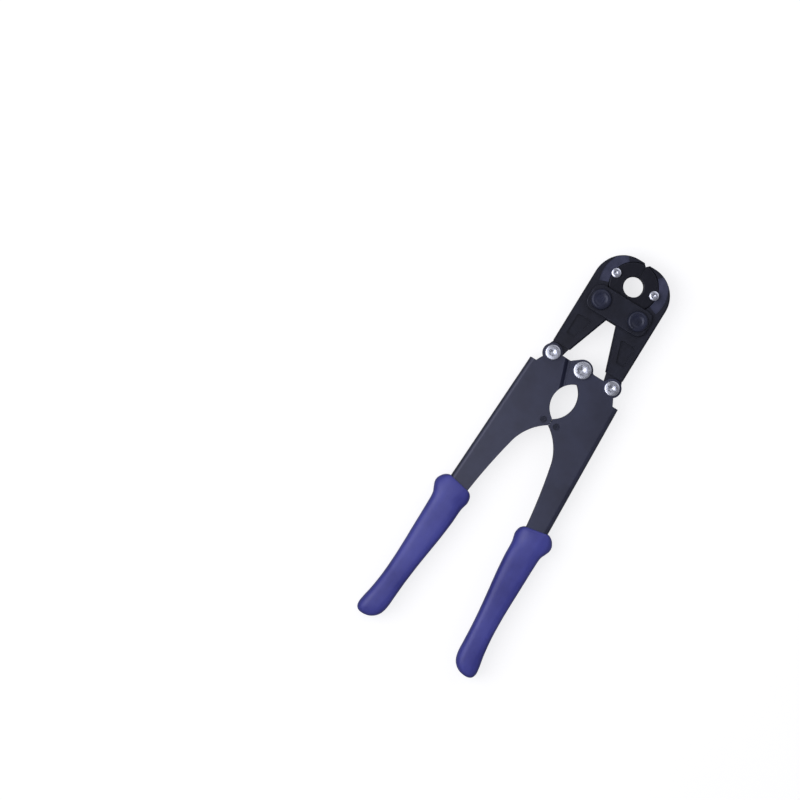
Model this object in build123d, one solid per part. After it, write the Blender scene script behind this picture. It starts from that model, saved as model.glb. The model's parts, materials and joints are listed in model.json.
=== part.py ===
from build123d import *
import math
import os

# PEX crimp ring tool: a two-hand toggle crimper with swappable die halves, shown closed on its stop.
# Origin: the centre of the closed crimp bore, halfway through the jaws' thickness.
# +X is the tool's right, +Y runs from the handles to the head, +Z leaves the front face.
# The tool lies on its back, so +Z is up. All sizes are millimetres.

# Crimp bore and die halves
BORE_D = 17.9
SPLIT_GAP = 0.2
DIE_R = 22.0
DIE_FLAT_DROP = 16.0
DIE_T = 12.0
DIE_SEAT_CLEAR = 0.05
MOUTH_NOTCH = 2.6
DIE_RIM_CHAMFER = 1.0
DIE_BORE_CHAMFER = 0.5
DIE_SCREW_X = 19.2
DIE_SCREW_Y = 2.6
DIE_SCREW_D = 5.0
DIE_SCREW_HEAD_D = 8.6
DIE_SCREW_HEAD_H = 3.0
DIE_SCREW_SOCKET = 3.4
DIE_NOTCH_W = 6.4

# Jaws
JAW_T = 16.0
HEAD_HALF_W = 35.0
HEAD_TOP = 23.0
HEAD_CORNER_R = 27.0
LEDGE_BORE_R = 14.0
JAW_RIM_CHAMFER = 1.4
VEE_TOP_HALF = 5.2
VEE_TOP_DROP = 37.5
VEE_FOOT_HALF = 18.2
SHOULDER_RISE = 9.8
TONGUE_T = 12.0
TONGUE_ROOT_RISE = 2.0
TONGUE_ROOT_INSET = 0.5
JAW_EYE_R = 8.0
LOBE_R = 3.0
LOBE_CLEAR = 0.3
CRESCENT_OUTER_R = 30.5
CRESCENT_FROM_DEG = -20.0
CRESCENT_TO_DEG = 50.0
CRESCENT_DEPTH = 1.0
POCKET_TOP_RISE = 40.5
POCKET_FOOT_RISE = 20.9
POCKET_OUTER_WALL = 5.9
POCKET_INNER_WALL = 7.0
POCKET_CORNER_R = 1.8
POCKET_DEPTH = 2.4

# Jaw pivots and straps
PIVOT_X = 18.5
PIVOT_DROP = 24.0
PIVOT_D = 10.0
PIVOT_TIP_CHAMFER = 0.8
PIVOT_HEAD_D = 18.3
PIVOT_HEAD_H = 3.8
PIVOT_DOME = 2.9
STRAP_T = 4.0
STRAP_W = 59.0
STRAP_H = 24.5
STRAP_CORNER_R = 8.0
STRAP_EDGE_CHAMFER = 0.7
SIDE_CLEAR = 0.1
RUN_CLEAR = 0.05

# Toggle joints at the top of the handles
TOGGLE_X = 30.0
TOGGLE_DROP = 85.0
TOGGLE_D = 8.0
TOGGLE_HEAD_D = 13.2
TOGGLE_HEAD_H = 5.0
TOGGLE_SOCKET = 6.0
CENTRE_D = 8.0
CENTRE_HEAD_D = 15.6
CENTRE_HEAD_H = 5.5
CENTRE_SOCKET = 8.0
SPACER_WALL = 2.5
WASHER_D = 16.0
WASHER_T = 1.6
NUT_ACROSS = 13.0
NUT_H = 6.5
PIVOT_NUT_ACROSS = 17.0
PIVOT_NUT_H = 5.0
TIP_PROUD = 0.9
HEX_CHAMFER = 0.8
HEAD_CHAMFER = 0.8
TIP_CHAMFER = 0.7
SOCKET_DEPTH_SHARE = 0.6

# Handles: folded channels of steel sheet, in handle coordinates with the centre bolt at 0, 0
SHEET_T = 3.0
CHANNEL_GAP = 12.3
BEND_R = 4.0
INNER_BEND_R = 1.2
TOGGLE_EAR_R = 8.5
CENTRE_EAR_R = 9.5
EAR_EDGE_TILT = 19.5
EAR_EDGE_OFFSET = 11.0
EAR_CORNER_RISE = 3.0
EAR_CORNER_R = 1.0
LINK_TOP = 2.0
VALLEY_FILLET = 2.5
JOGGLE_OFFSET = 17.2
JOGGLE_GAP = 0.2
JOGGLE_DEG = 45.0
JOGGLE_BEND_R = 3.2
WEB_TOP_DROP = 13.0
WEB_TOP_X = 44.4
WEB_TILT = 2.25
SHOULDER_X = 38.8
WAIST_X = 36.0
WAIST_DROP = 7.5
WINDOW_TOP_DROP = 13.0
WINDOW_FOOT_DROP = 49.6
WINDOW_TOP_X = 3.0
WINDOW_LEFT = (-10.0, -30.0)
WINDOW_RIGHT = (11.2, -31.0)
EAR_CUT_RISE = 12.0
EAR_CUT_LEFT = (-9.0, -24.6)
TIP_HALF_GAP = 0.4
TIP_FOOT_DROP = 56.0
THROAT_MID = (8.4, -62.6)
THROAT_END = (20.0, -82.7)
ARM_MID = (25.6, -110.0)
ARM_END = (30.0, -140.0)
TANG_TILT = 4.6
TANG_END_DROP = 262.0

# Stop between the handles
STOP_SCREW_X = 6.5
STOP_SCREW_DROP = 53.7
STOP_SCREW_D = 3.5
STOP_SCREW_HEAD_D = 6.0
STOP_SCREW_HEAD_H = 1.6
STOP_SCREW_RECESS = 0.8
STOP_SCREW_LENGTH = 5.4
STOP_SCREW_SOCKET = 2.5
STOP_THREAD_DEPTH = 3.5
STOP_BLOCK_FACE = 1.0
STOP_BLOCK_BACK = 14.0
STOP_BLOCK_ABOVE_SCREW = 7.2
STOP_BLOCK_BELOW_SCREW = 6.8
STOP_BLOCK_INSET = 0.6
ADJUSTER_D = 5.0
ADJUSTER_TAIL = 23.0
ADJUSTER_CHAMFER = 0.6
ADJUSTER_NUT_ACROSS = 8.0
ADJUSTER_NUT_H = 4.0
ADJUSTER_SLOT_W = 1.0
ADJUSTER_SLOT_DEPTH = 1.4
CONTACT_CLEAR = 0.05

# Grips, in handle coordinates
GRIP_T = 23.4
GRIP_EDGE_R = 6.0
GRIP_FIT_CLEAR = 0.1
GRIP_MOUTH_INNER = (31.3, -140.5)
GRIP_MOUTH_OUTER = (46.2, -137.4)
EAR_INNER_FOOT = (26.4, -154.4)
EAR_OUTER_FOOT = (54.3, -155.6)
EAR_BLEND_R = 6.0
GRIP_PALM = (27.0, -172.0)
GRIP_WAIST = (30.6, -203.0)
GRIP_BACK = (54.0, -212.0)
GRIP_TOE = (36.0, -279.6)
GRIP_TOE_R = 15.0
GRIP_HEEL = (61.7, -279.2)
GRIP_HEEL_R = 7.5

# Derived planes and places
BORE_R = BORE_D / 2
DIE_MOUTH_NOTCH = MOUTH_NOTCH - (HEAD_TOP - DIE_R)
SPLIT = SPLIT_GAP / 2
JAW_FRONT = JAW_T / 2
DIE_BACK = JAW_FRONT - DIE_T
PIVOT_R = PIVOT_D / 2
PIVOT_Y = -PIVOT_DROP
STRAP_BACK = JAW_FRONT + SIDE_CLEAR
STRAP_FRONT = STRAP_BACK + STRAP_T
TOGGLE_R = TOGGLE_D / 2
TOGGLE_Y = -TOGGLE_DROP
SHOULDER_Y = TOGGLE_Y + SHOULDER_RISE
PLATE_BACK = CHANNEL_GAP / 2
PLATE_FRONT = PLATE_BACK + SHEET_T
EAR_FRONT = PLATE_BACK - JOGGLE_GAP
EAR_BACK = EAR_FRONT - SHEET_T
VEE_SLOPE = (VEE_FOOT_HALF - VEE_TOP_HALF) / (TOGGLE_DROP - SHOULDER_RISE - VEE_TOP_DROP)
VEE_APEX_Y = -VEE_TOP_DROP + (VEE_TOP_HALF - SPLIT) / VEE_SLOPE
JOGGLE_DROP = PLATE_FRONT - EAR_FRONT
STOP_TOP = PLATE_FRONT - STOP_SCREW_RECESS
STOP_SEAT = STOP_TOP - STOP_SCREW_HEAD_H
TOOL_REACH = 2 * TANG_END_DROP
REAR_TIP = PLATE_FRONT + WASHER_T + NUT_H + TIP_PROUD
PIVOT_TIP = STRAP_FRONT + PIVOT_NUT_H + TIP_PROUD

# Each handle's turn to fully open, and the play that lets the left pivot drift on the way there
OPEN_HALF_DEG = 63.0
PIVOT_PLAY = 1.0
DRIFT_STEPS = 20

OUT = "parts"


def slab(plan, low, high):
    """A flat sketch raised from height low to height high."""
    return extrude(Pos(0, 0, low) * plan, high - low)


def rod(x, y, radius, low, high):
    """A round bar along Z."""
    return slab(Pos(x, y) * Circle(radius), low, high)


def block(x_low, x_high, y_low, y_high, z_low, z_high):
    """A box given by its limits."""
    plan = Pos((x_low + x_high) / 2, (y_low + y_high) / 2) * Rectangle(x_high - x_low, y_high - y_low)
    return slab(plan, z_low, z_high)


def flipped(shape):
    """The shape mirrored from the tool's right side to its left."""
    return mirror(shape, Plane.YZ)


def to_rear(shape):
    """The shape mirrored from the tool's front to its rear."""
    return mirror(shape, Plane.XY)


def at_handles(shape):
    """A shape in handle coordinates moved to its place in the tool."""
    return Pos(0, TOGGLE_Y, 0) * shape


def at_height(edge, height):
    """Whether an edge lies in one of the two planes at this distance from the middle plane."""
    return abs(abs(edge.center().Z) - height) < 0.01


def write(name, shape):
    """One STEP file for one named piece."""
    export_step(shape, os.path.join(OUT, name + ".step"))


# Fasteners

def hex_nut(x, y, across, hole_radius, low, high):
    """A hexagon nut along Z, flat at its high end and with its corners chamfered at the low one."""
    body = slab(Pos(x, y) * RegularPolygon(across / 2, 6, major_radius=False), low, high)
    turned = rod(x, y, across / math.sqrt(3), low, high)
    turned = chamfer(turned.edges().filter_by(GeomType.CIRCLE).sort_by(Axis.Z)[0], HEX_CHAMFER)
    return (body & turned) - rod(x, y, hole_radius, low, high)


def socket_screw(x, y, shank_d, head_d, head_h, socket, seat, tip):
    """A socket head screw whose head sits on height seat and whose shank ends at height tip."""
    head = rod(x, y, head_d / 2, seat, seat + head_h)
    head = chamfer(head.edges().filter_by(GeomType.CIRCLE).sort_by(Axis.Z)[-1], HEAD_CHAMFER)
    recess = slab(Pos(x, y) * RegularPolygon(socket / 2, 6, major_radius=False),
                  seat + head_h * (1 - SOCKET_DEPTH_SHARE), seat + head_h)
    shank = rod(x, y, shank_d / 2, tip, seat)
    shank = chamfer(shank.edges().filter_by(GeomType.CIRCLE).sort_by(Axis.Z)[0], TIP_CHAMFER)
    return head - recess + shank


def washer(x, y, hole_radius, low, high):
    """A plain flat washer."""
    return rod(x, y, WASHER_D / 2, low, high) - rod(x, y, hole_radius, low, high)


# Die halves, screws and jaws

def right_die_half():
    """Half of the round die: flat foot, side notch for its screw and half of the crimp bore."""
    plan = Circle(DIE_R) & Pos(DIE_R / 2 + SPLIT, DIE_R - DIE_FLAT_DROP) * Rectangle(DIE_R, 2 * DIE_R)
    mouth = RegularPolygon(DIE_MOUTH_NOTCH, 4)
    body = slab(plan - Pos(SPLIT, DIE_R) * mouth, DIE_BACK, JAW_FRONT)
    rims = [e for e in body.edges().filter_by(GeomType.CIRCLE) if e.radius > BORE_R]
    body = chamfer(rims, DIE_RIM_CHAMFER)
    bore = rod(0, 0, BORE_R, DIE_BACK, JAW_FRONT)
    for height in (DIE_BACK, JAW_FRONT):
        rim = Cone(BORE_R + DIE_BORE_CHAMFER, BORE_R, DIE_BORE_CHAMFER,
                   align=(Align.CENTER, Align.CENTER, Align.MIN))
        bore += Pos(0, 0, height) * Rot(180 if height > 0 else 0, 0, 0) * rim
    notch = Pos(DIE_SCREW_X + DIE_R / 2, DIE_SCREW_Y) * Rectangle(DIE_R, DIE_NOTCH_W)
    notch = notch + Pos(DIE_SCREW_X, DIE_SCREW_Y) * Circle(DIE_NOTCH_W / 2)
    return body - bore - slab(notch, DIE_BACK, JAW_FRONT)


def right_die_screw():
    """The low-head screw that passes the die's notch and holds it down on the jaw's ledge."""
    return socket_screw(DIE_SCREW_X, DIE_SCREW_Y, DIE_SCREW_D, DIE_SCREW_HEAD_D, DIE_SCREW_HEAD_H,
                        DIE_SCREW_SOCKET, JAW_FRONT, -JAW_FRONT)


def jaw_blank():
    """The right jaw before its holes: a thick arm with a chamfered rim, and a thin tongue at its foot."""
    side = Polyline((HEAD_HALF_W, HEAD_TOP - HEAD_CORNER_R), (HEAD_HALF_W, SHOULDER_Y),
                    (VEE_FOOT_HALF, SHOULDER_Y), (SPLIT, VEE_APEX_Y), (SPLIT, HEAD_TOP - MOUTH_NOTCH),
                    (SPLIT + MOUTH_NOTCH, HEAD_TOP), (HEAD_HALF_W - HEAD_CORNER_R, HEAD_TOP))
    corner = JernArc((HEAD_HALF_W - HEAD_CORNER_R, HEAD_TOP), (1, 0), HEAD_CORNER_R, -90)
    arm = slab(make_face(side + corner), -JAW_FRONT, JAW_FRONT)
    outer = [e for e in arm.edges() if at_height(e, JAW_FRONT)
             and e.center().X > HEAD_HALF_W - HEAD_CORNER_R and e.center().Y > SHOULDER_Y + JAW_RIM_CHAMFER]
    arm = chamfer(outer, JAW_RIM_CHAMFER)
    eye = Pos(TOGGLE_X, TOGGLE_Y) * Circle(JAW_EYE_R)
    root_y = SHOULDER_Y + TONGUE_ROOT_RISE
    root = Line((VEE_FOOT_HALF + TONGUE_ROOT_INSET, root_y), (HEAD_HALF_W - JAW_RIM_CHAMFER, root_y))
    tongue = make_hull(eye.edges() + root.edges())
    return arm + slab(tongue, -TONGUE_T / 2, TONGUE_T / 2)


def arm_pocket():
    """The tapered lightening pocket in the face of the arm, on the front."""
    top = TOGGLE_Y + POCKET_TOP_RISE
    foot = TOGGLE_Y + POCKET_FOOT_RISE
    outer = HEAD_HALF_W - POCKET_OUTER_WALL
    inner_top = SPLIT + (VEE_APEX_Y - top) * VEE_SLOPE + POCKET_INNER_WALL
    inner_foot = SPLIT + (VEE_APEX_Y - foot) * VEE_SLOPE + POCKET_INNER_WALL
    plan = make_face(Polyline((outer, top), (outer, foot), (inner_foot, foot), (inner_top, top), close=True))
    plan = fillet(plan.vertices(), POCKET_CORNER_R)
    return slab(plan, JAW_FRONT - POCKET_DEPTH, JAW_FRONT)


def crescent():
    """The shallow ring-shaped relief beside the die screw, on the front face."""
    reach = 2 * CRESCENT_OUTER_R
    middle = (CRESCENT_FROM_DEG + CRESCENT_TO_DEG) / 2
    edges = [math.radians(a) for a in (CRESCENT_FROM_DEG, middle, CRESCENT_TO_DEG)]
    rays = [(reach * math.cos(a), reach * math.sin(a)) for a in edges]
    wedge = make_face(Polyline((0, 0), *rays, close=True))
    ring = Circle(CRESCENT_OUTER_R) - Circle(DIE_R)
    return slab(ring & wedge, JAW_FRONT - CRESCENT_DEPTH, JAW_FRONT)


def right_jaw():
    """The right jaw: die seat with a rear ledge, pivot bore, timing socket, pockets and toggle eye."""
    jaw = jaw_blank()
    seat_r = DIE_R + DIE_SEAT_CLEAR
    seat = Circle(seat_r) & Pos(0, seat_r - DIE_FLAT_DROP) * Rectangle(2 * seat_r, 2 * seat_r)
    jaw -= slab(seat, DIE_BACK, JAW_FRONT)
    jaw -= rod(0, 0, LEDGE_BORE_R, -JAW_FRONT, JAW_FRONT)
    jaw -= crescent()
    jaw -= arm_pocket()
    jaw -= to_rear(arm_pocket())
    jaw -= rod(DIE_SCREW_X, DIE_SCREW_Y, DIE_SCREW_D / 2 + DIE_SEAT_CLEAR, -JAW_FRONT, JAW_FRONT)
    jaw -= rod(PIVOT_X, PIVOT_Y, PIVOT_R + RUN_CLEAR, -JAW_FRONT, JAW_FRONT)
    jaw -= rod(TOGGLE_X, TOGGLE_Y, TOGGLE_R + RUN_CLEAR, -JAW_FRONT, JAW_FRONT)
    return jaw


def timing_lobe(radius):
    """The round lobe on the pivot line that keeps the two jaws in step."""
    return rod(0, PIVOT_Y, radius, -JAW_FRONT, JAW_FRONT)


def jaw_turn(half_open):
    """How far each jaw turns, in radians, once each handle has turned by half_open."""
    target = PIVOT_X - TOGGLE_X * math.cos(half_open)
    lean_x, lean_y = TOGGLE_X - PIVOT_X, TOGGLE_DROP - PIVOT_DROP
    reach = math.hypot(lean_x, lean_y)
    return math.asin(target / reach) + math.atan2(lean_x, lean_y)


def pivot_play():
    """How far the left pivot pin drifts from its hole when jaws and handles keep one constant ratio."""
    full = math.radians(OPEN_HALF_DEG)
    lean_x, lean_y = TOGGLE_X - PIVOT_X, TOGGLE_DROP - PIVOT_DROP
    drift = 0.0
    for step in range(1, DRIFT_STEPS):
        half_open = full * step / DRIFT_STEPS
        turn = jaw_turn(full) * step / DRIFT_STEPS
        pin_x = TOGGLE_X * math.cos(half_open) - lean_x * math.cos(turn) + lean_y * math.sin(turn)
        drift = max(drift, 2 * (pin_x - PIVOT_X))
    return drift


def left_jaw():
    """The left jaw: mirrored, with the timing lobe, and play at its pivot for the opened loop."""
    jaw = flipped(right_jaw()) + timing_lobe(LOBE_R)
    jaw -= rod(-PIVOT_X, PIVOT_Y, PIVOT_R + RUN_CLEAR, -JAW_FRONT, JAW_FRONT)
    drift = pivot_play()
    dip = drift * math.sin(jaw_turn(math.radians(OPEN_HALF_DEG)) / 2)
    near = Pos(-PIVOT_X, PIVOT_Y) * Circle(PIVOT_R + RUN_CLEAR)
    far = Pos(-PIVOT_X + drift, PIVOT_Y - dip) * Circle(PIVOT_R + PIVOT_PLAY)
    return jaw - slab(make_hull(near.edges() + far.edges()), -JAW_FRONT, JAW_FRONT)


# Straps and jaw pivots

def front_strap():
    """The side plate that joins the two jaw pivots."""
    plan = Pos(0, PIVOT_Y) * RectangleRounded(STRAP_W, STRAP_H, STRAP_CORNER_R)
    strap = slab(plan, STRAP_BACK, STRAP_FRONT)
    strap = chamfer(strap.edges().group_by(Axis.Z)[-1], STRAP_EDGE_CHAMFER)
    for x in (-PIVOT_X, PIVOT_X):
        strap -= rod(x, PIVOT_Y, PIVOT_R + RUN_CLEAR, STRAP_BACK, STRAP_FRONT)
    return strap


def right_pivot_pin():
    """A pivot pin with a domed head at the front and a threaded rear end."""
    head = rod(PIVOT_X, PIVOT_Y, PIVOT_HEAD_D / 2, STRAP_FRONT, STRAP_FRONT + PIVOT_HEAD_H)
    head = fillet(head.edges().filter_by(GeomType.CIRCLE).sort_by(Axis.Z)[-1], PIVOT_DOME)
    shank = rod(PIVOT_X, PIVOT_Y, PIVOT_R, -PIVOT_TIP, STRAP_FRONT)
    shank = chamfer(shank.edges().filter_by(GeomType.CIRCLE).sort_by(Axis.Z)[0], PIVOT_TIP_CHAMFER)
    return head + shank


def right_pivot_nut():
    """The thin nut that keeps a pivot pin in the rear strap."""
    return hex_nut(PIVOT_X, PIVOT_Y, PIVOT_NUT_ACROSS, PIVOT_R + RUN_CLEAR,
                   -STRAP_FRONT - PIVOT_NUT_H, -STRAP_FRONT)


# Handles, in handle coordinates

def web_x(y):
    """The web's outer face at height y."""
    return WEB_TOP_X + (-WEB_TOP_DROP - y) * math.tan(math.radians(WEB_TILT))


def window():
    """The leaf-shaped window between the handles, cut by two arcs that meet in points."""
    top = (WINDOW_TOP_X, -WINDOW_TOP_DROP)
    foot = (0, -WINDOW_FOOT_DROP)
    return make_face(ThreePointArc(top, WINDOW_LEFT, foot) + ThreePointArc(foot, WINDOW_RIGHT, top))


def arm_plan():
    """The right arm's plate seen from the front, without its centre ear."""
    tang_inner = ARM_END[0] + (TANG_END_DROP + ARM_END[1]) * math.tan(math.radians(TANG_TILT))
    foot = -TANG_END_DROP
    line = Polyline(ARM_END, (tang_inner, foot), (web_x(foot), foot), (WEB_TOP_X, -WEB_TOP_DROP),
                    (SHOULDER_X, -WEB_TOP_DROP), (WAIST_X, -WAIST_DROP), (TOGGLE_X, LINK_TOP),
                    (0, LINK_TOP), (0, -WINDOW_TOP_DROP), (TIP_HALF_GAP, -WINDOW_TOP_DROP),
                    (TIP_HALF_GAP, -TIP_FOOT_DROP))
    throat = ThreePointArc((TIP_HALF_GAP, -TIP_FOOT_DROP), THROAT_MID, THROAT_END)
    inner = ThreePointArc(THROAT_END, ARM_MID, ARM_END)
    ear = Pos(TOGGLE_X, 0) * Circle(TOGGLE_EAR_R)
    return make_face(line + throat + inner) + ear


def ear_normal():
    """The unit vector square to the slanting edges beside the centre bolt, pointing at the bolt."""
    tilt = math.radians(EAR_EDGE_TILT)
    return math.cos(tilt), math.sin(tilt)


def centre_ear():
    """The right handle's outer ear round the centre bolt, with its slanting left edge."""
    nx, ny = ear_normal()
    inset = EAR_EDGE_OFFSET - EAR_CORNER_R
    top_y = EAR_CORNER_RISE - EAR_CORNER_R
    foot_y = -(WINDOW_TOP_DROP + WINDOW_FOOT_DROP) / 2
    corners = [Pos((-inset - y * ny) / nx, y) * Circle(EAR_CORNER_R) for y in (top_y, foot_y)]
    sides = corners[0].edges() + corners[1].edges() + Circle(CENTRE_EAR_R).edges()
    return make_hull(sides)


def drilled(body, holes):
    """The body with round holes right through it, given as (x, y, radius)."""
    for x, y, radius in holes:
        body -= rod(x, y, radius, -PLATE_FRONT, PLATE_FRONT)
    return body


def folded(plan):
    """A channel folded from sheet: two plates joined by a web along the outer side."""
    body = slab(plan, -PLATE_FRONT, PLATE_FRONT)
    bends = [e for e in body.edges() if at_height(e, PLATE_FRONT)
             and abs(e.center().X - web_x(e.center().Y)) < 0.1 and e.length > TANG_END_DROP / 2]
    body = fillet(bends, BEND_R)
    foot = -TOOL_REACH
    hollow = make_face(Polyline(
        (-WEB_TOP_X, TOGGLE_DROP), (TOOL_REACH, TOGGLE_DROP), (TOOL_REACH, -WEB_TOP_DROP),
        (WEB_TOP_X - SHEET_T, -WEB_TOP_DROP), (web_x(foot) - SHEET_T, foot), (-WEB_TOP_X, foot), close=True))
    cut = slab(hollow, -PLATE_BACK, PLATE_BACK)
    corners = [e for e in cut.edges() if at_height(e, PLATE_BACK)
               and abs(e.center().X - web_x(e.center().Y) + SHEET_T) < 0.1 and e.length > TANG_END_DROP]
    return body - fillet(corners, INNER_BEND_R)


def stop_holes(side):
    """The seats of the two short screws that hold the stop block between the plates."""
    x, y = side * STOP_SCREW_X, -STOP_SCREW_DROP
    front = rod(x, y, STOP_SCREW_D / 2 + RUN_CLEAR, PLATE_BACK - STOP_THREAD_DEPTH, PLATE_FRONT)
    front += rod(x, y, STOP_SCREW_HEAD_D / 2 + RUN_CLEAR, STOP_SEAT, PLATE_FRONT)
    return front + to_rear(front)


def right_handle_channel():
    """The right handle: flat plates that carry the centre bolt on the outside."""
    plan = arm_plan() + centre_ear() - window()
    plan -= make_face(Polyline(
        (-WEB_TOP_X, EAR_CUT_LEFT[1]), (-WEB_TOP_X, -TOGGLE_DROP), (TIP_HALF_GAP, -TOGGLE_DROP),
        (TIP_HALF_GAP, -WINDOW_FOOT_DROP + EAR_CUT_RISE), EAR_CUT_LEFT, close=True))
    valley = [v for v in plan.vertices() if 0 < v.X < TOGGLE_X and LINK_TOP - 0.01 < v.Y < TOGGLE_EAR_R]
    plan = fillet(valley, VALLEY_FILLET)
    body = folded(plan)
    holes = [(TOGGLE_X, 0, TOGGLE_R + RUN_CLEAR), (0, 0, CENTRE_D / 2 + RUN_CLEAR)]
    return drilled(body, holes) - stop_holes(1)


def joggle_plane():
    """The upright plane across the joggle, with its origin where the left plate starts to step in."""
    nx, ny = ear_normal()
    return Plane(origin=(-JOGGLE_OFFSET * nx, -JOGGLE_OFFSET * ny, 0), x_dir=(nx, ny, 0), z_dir=(ny, -nx, 0))


def joggled_sheet():
    """The left handle's front ear as sheet that steps inwards, below the right handle's ear."""
    bend = SHEET_T * math.tan(math.radians(JOGGLE_DEG / 2)) / 2
    run = JOGGLE_DROP / math.tan(math.radians(JOGGLE_DEG))
    profile = make_face(Polyline(
        (-SHEET_T, PLATE_BACK), (-SHEET_T, PLATE_FRONT), (bend, PLATE_FRONT), (bend + run, EAR_FRONT),
        (TOGGLE_DROP, EAR_FRONT), (TOGGLE_DROP, EAR_BACK), (run - bend, EAR_BACK), (-bend, PLATE_BACK),
        close=True))
    return extrude(joggle_plane() * profile, WEB_TOP_X, both=True)


def left_plate_side():
    """Everything on the left plate's side of the joggle line, between the plates' outer faces."""
    half = Pos(-TOOL_REACH / 2, 0) * Rectangle(TOOL_REACH, 2 * PLATE_FRONT)
    return extrude(joggle_plane() * half, TOOL_REACH, both=True)


def left_handle_channel():
    """The left handle: the same folded channel, with centre ears that step in between the right one's."""
    arm = arm_plan() - flipped(window())
    body = flipped(folded(arm))
    reach = EAR_EDGE_OFFSET + JOGGLE_OFFSET
    upper = Pos(-reach / 2, LINK_TOP - reach / 2) * Rectangle(reach, reach)
    region = (flipped(arm) & upper) + Circle(CENTRE_EAR_R) - window()
    low = block(-TOOL_REACH, TOOL_REACH, -TOOL_REACH, -WINDOW_FOOT_DROP, -PLATE_FRONT, PLATE_FRONT)
    ear = joggled_sheet() & slab(region, -PLATE_FRONT, PLATE_FRONT)
    body = (body & left_plate_side()) + (body & low) + ear + to_rear(ear)
    holes = [(-TOGGLE_X, 0, TOGGLE_R + RUN_CLEAR), (0, 0, CENTRE_D / 2 + RUN_CLEAR)]
    return drilled(body, holes) - stop_holes(-1)


def right_toggle_bolt():
    """The bolt that joins the right jaw's tongue to the right handle."""
    return socket_screw(TOGGLE_X, 0, TOGGLE_D, TOGGLE_HEAD_D, TOGGLE_HEAD_H, TOGGLE_SOCKET,
                        PLATE_FRONT, -REAR_TIP)


def centre_bolt():
    """The bolt that joins the two handles."""
    return socket_screw(0, 0, CENTRE_D, CENTRE_HEAD_D, CENTRE_HEAD_H, CENTRE_SOCKET, PLATE_FRONT, -REAR_TIP)


def rear_washer(x, shank_radius):
    """The washer behind a handle bolt."""
    return washer(x, 0, shank_radius + RUN_CLEAR, -PLATE_FRONT - WASHER_T, -PLATE_FRONT)


def rear_nut(x, shank_radius):
    """The nut behind a handle bolt."""
    low = -PLATE_FRONT - WASHER_T - NUT_H
    return hex_nut(x, 0, NUT_ACROSS, shank_radius + RUN_CLEAR, low, low + NUT_H)


def centre_spacer():
    """The tube round the centre bolt that holds the left handle's ears apart."""
    half = EAR_BACK - CONTACT_CLEAR
    inner = CENTRE_D / 2 + RUN_CLEAR
    return rod(0, 0, inner + SPACER_WALL, -half, half) - rod(0, 0, inner, -half, half)


# Stop parts

def stop_block(side):
    """The steel block between a handle's plates that meets the other side when the bore is closed."""
    half = PLATE_BACK - CONTACT_CLEAR
    zone = block(STOP_BLOCK_FACE, STOP_BLOCK_BACK, -STOP_SCREW_DROP - STOP_BLOCK_BELOW_SCREW,
                 -STOP_SCREW_DROP + STOP_BLOCK_ABOVE_SCREW, -half, half)
    arm = arm_plan() & Pos(STOP_BLOCK_INSET, 0) * arm_plan()
    body = zone & slab(arm, -half, half)
    if side < 0:
        body = flipped(body)
    return body - slab(window(), -half, half) - stop_holes(side)


def stop_screws(side):
    """The two short sunk screws of one stop block, front and rear."""
    x, y = side * STOP_SCREW_X, -STOP_SCREW_DROP
    head = rod(x, y, STOP_SCREW_HEAD_D / 2, STOP_SEAT, STOP_TOP)
    shank = rod(x, y, STOP_SCREW_D / 2, STOP_TOP - STOP_SCREW_LENGTH, STOP_SEAT)
    socket = slab(Pos(x, y) * RegularPolygon(STOP_SCREW_SOCKET / 2, 6, major_radius=False),
                  STOP_TOP - STOP_SCREW_HEAD_H * SOCKET_DEPTH_SHARE, STOP_TOP)
    front = head + shank - socket
    return Compound(children=[front, to_rear(front)])


def along_x(shape, x, y):
    """A shape built along Z turned to run along +X from x."""
    return Pos(x, y, 0) * Rot(0, 90, 0) * shape


def adjusting_screw():
    """The slotted screw through the left block whose tip meets the right block."""
    length = STOP_BLOCK_FACE - CONTACT_CLEAR + ADJUSTER_TAIL
    shank = rod(0, 0, ADJUSTER_D / 2, 0, length)
    shank = chamfer(shank.edges().filter_by(GeomType.CIRCLE), ADJUSTER_CHAMFER)
    slot = block(-ADJUSTER_D, ADJUSTER_D, -ADJUSTER_SLOT_W / 2, ADJUSTER_SLOT_W / 2, 0, ADJUSTER_SLOT_DEPTH)
    return along_x(shank - slot, -ADJUSTER_TAIL, -STOP_SCREW_DROP)


def adjuster_nut():
    """The lock nut of the adjusting screw, behind the left block."""
    nut = hex_nut(0, 0, ADJUSTER_NUT_ACROSS, ADJUSTER_D / 2 + RUN_CLEAR, 0, ADJUSTER_NUT_H)
    return along_x(nut, -STOP_BLOCK_BACK - ADJUSTER_NUT_H, -STOP_SCREW_DROP)


def adjuster_hole():
    """The threaded hole through the left block, as the screw's clearance."""
    bore = rod(0, 0, ADJUSTER_D / 2 + RUN_CLEAR, 0, 2 * STOP_BLOCK_BACK)
    return along_x(bore, -2 * STOP_BLOCK_BACK, -STOP_SCREW_DROP)


# Grips

def tang_core():
    """The channel's filled outer shape with fitting clearance, which the grip is moulded round."""
    grown = offset(arm_plan(), GRIP_FIT_CLEAR)
    high = PLATE_FRONT + GRIP_FIT_CLEAR
    return slab(grown, -high, high)


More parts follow.
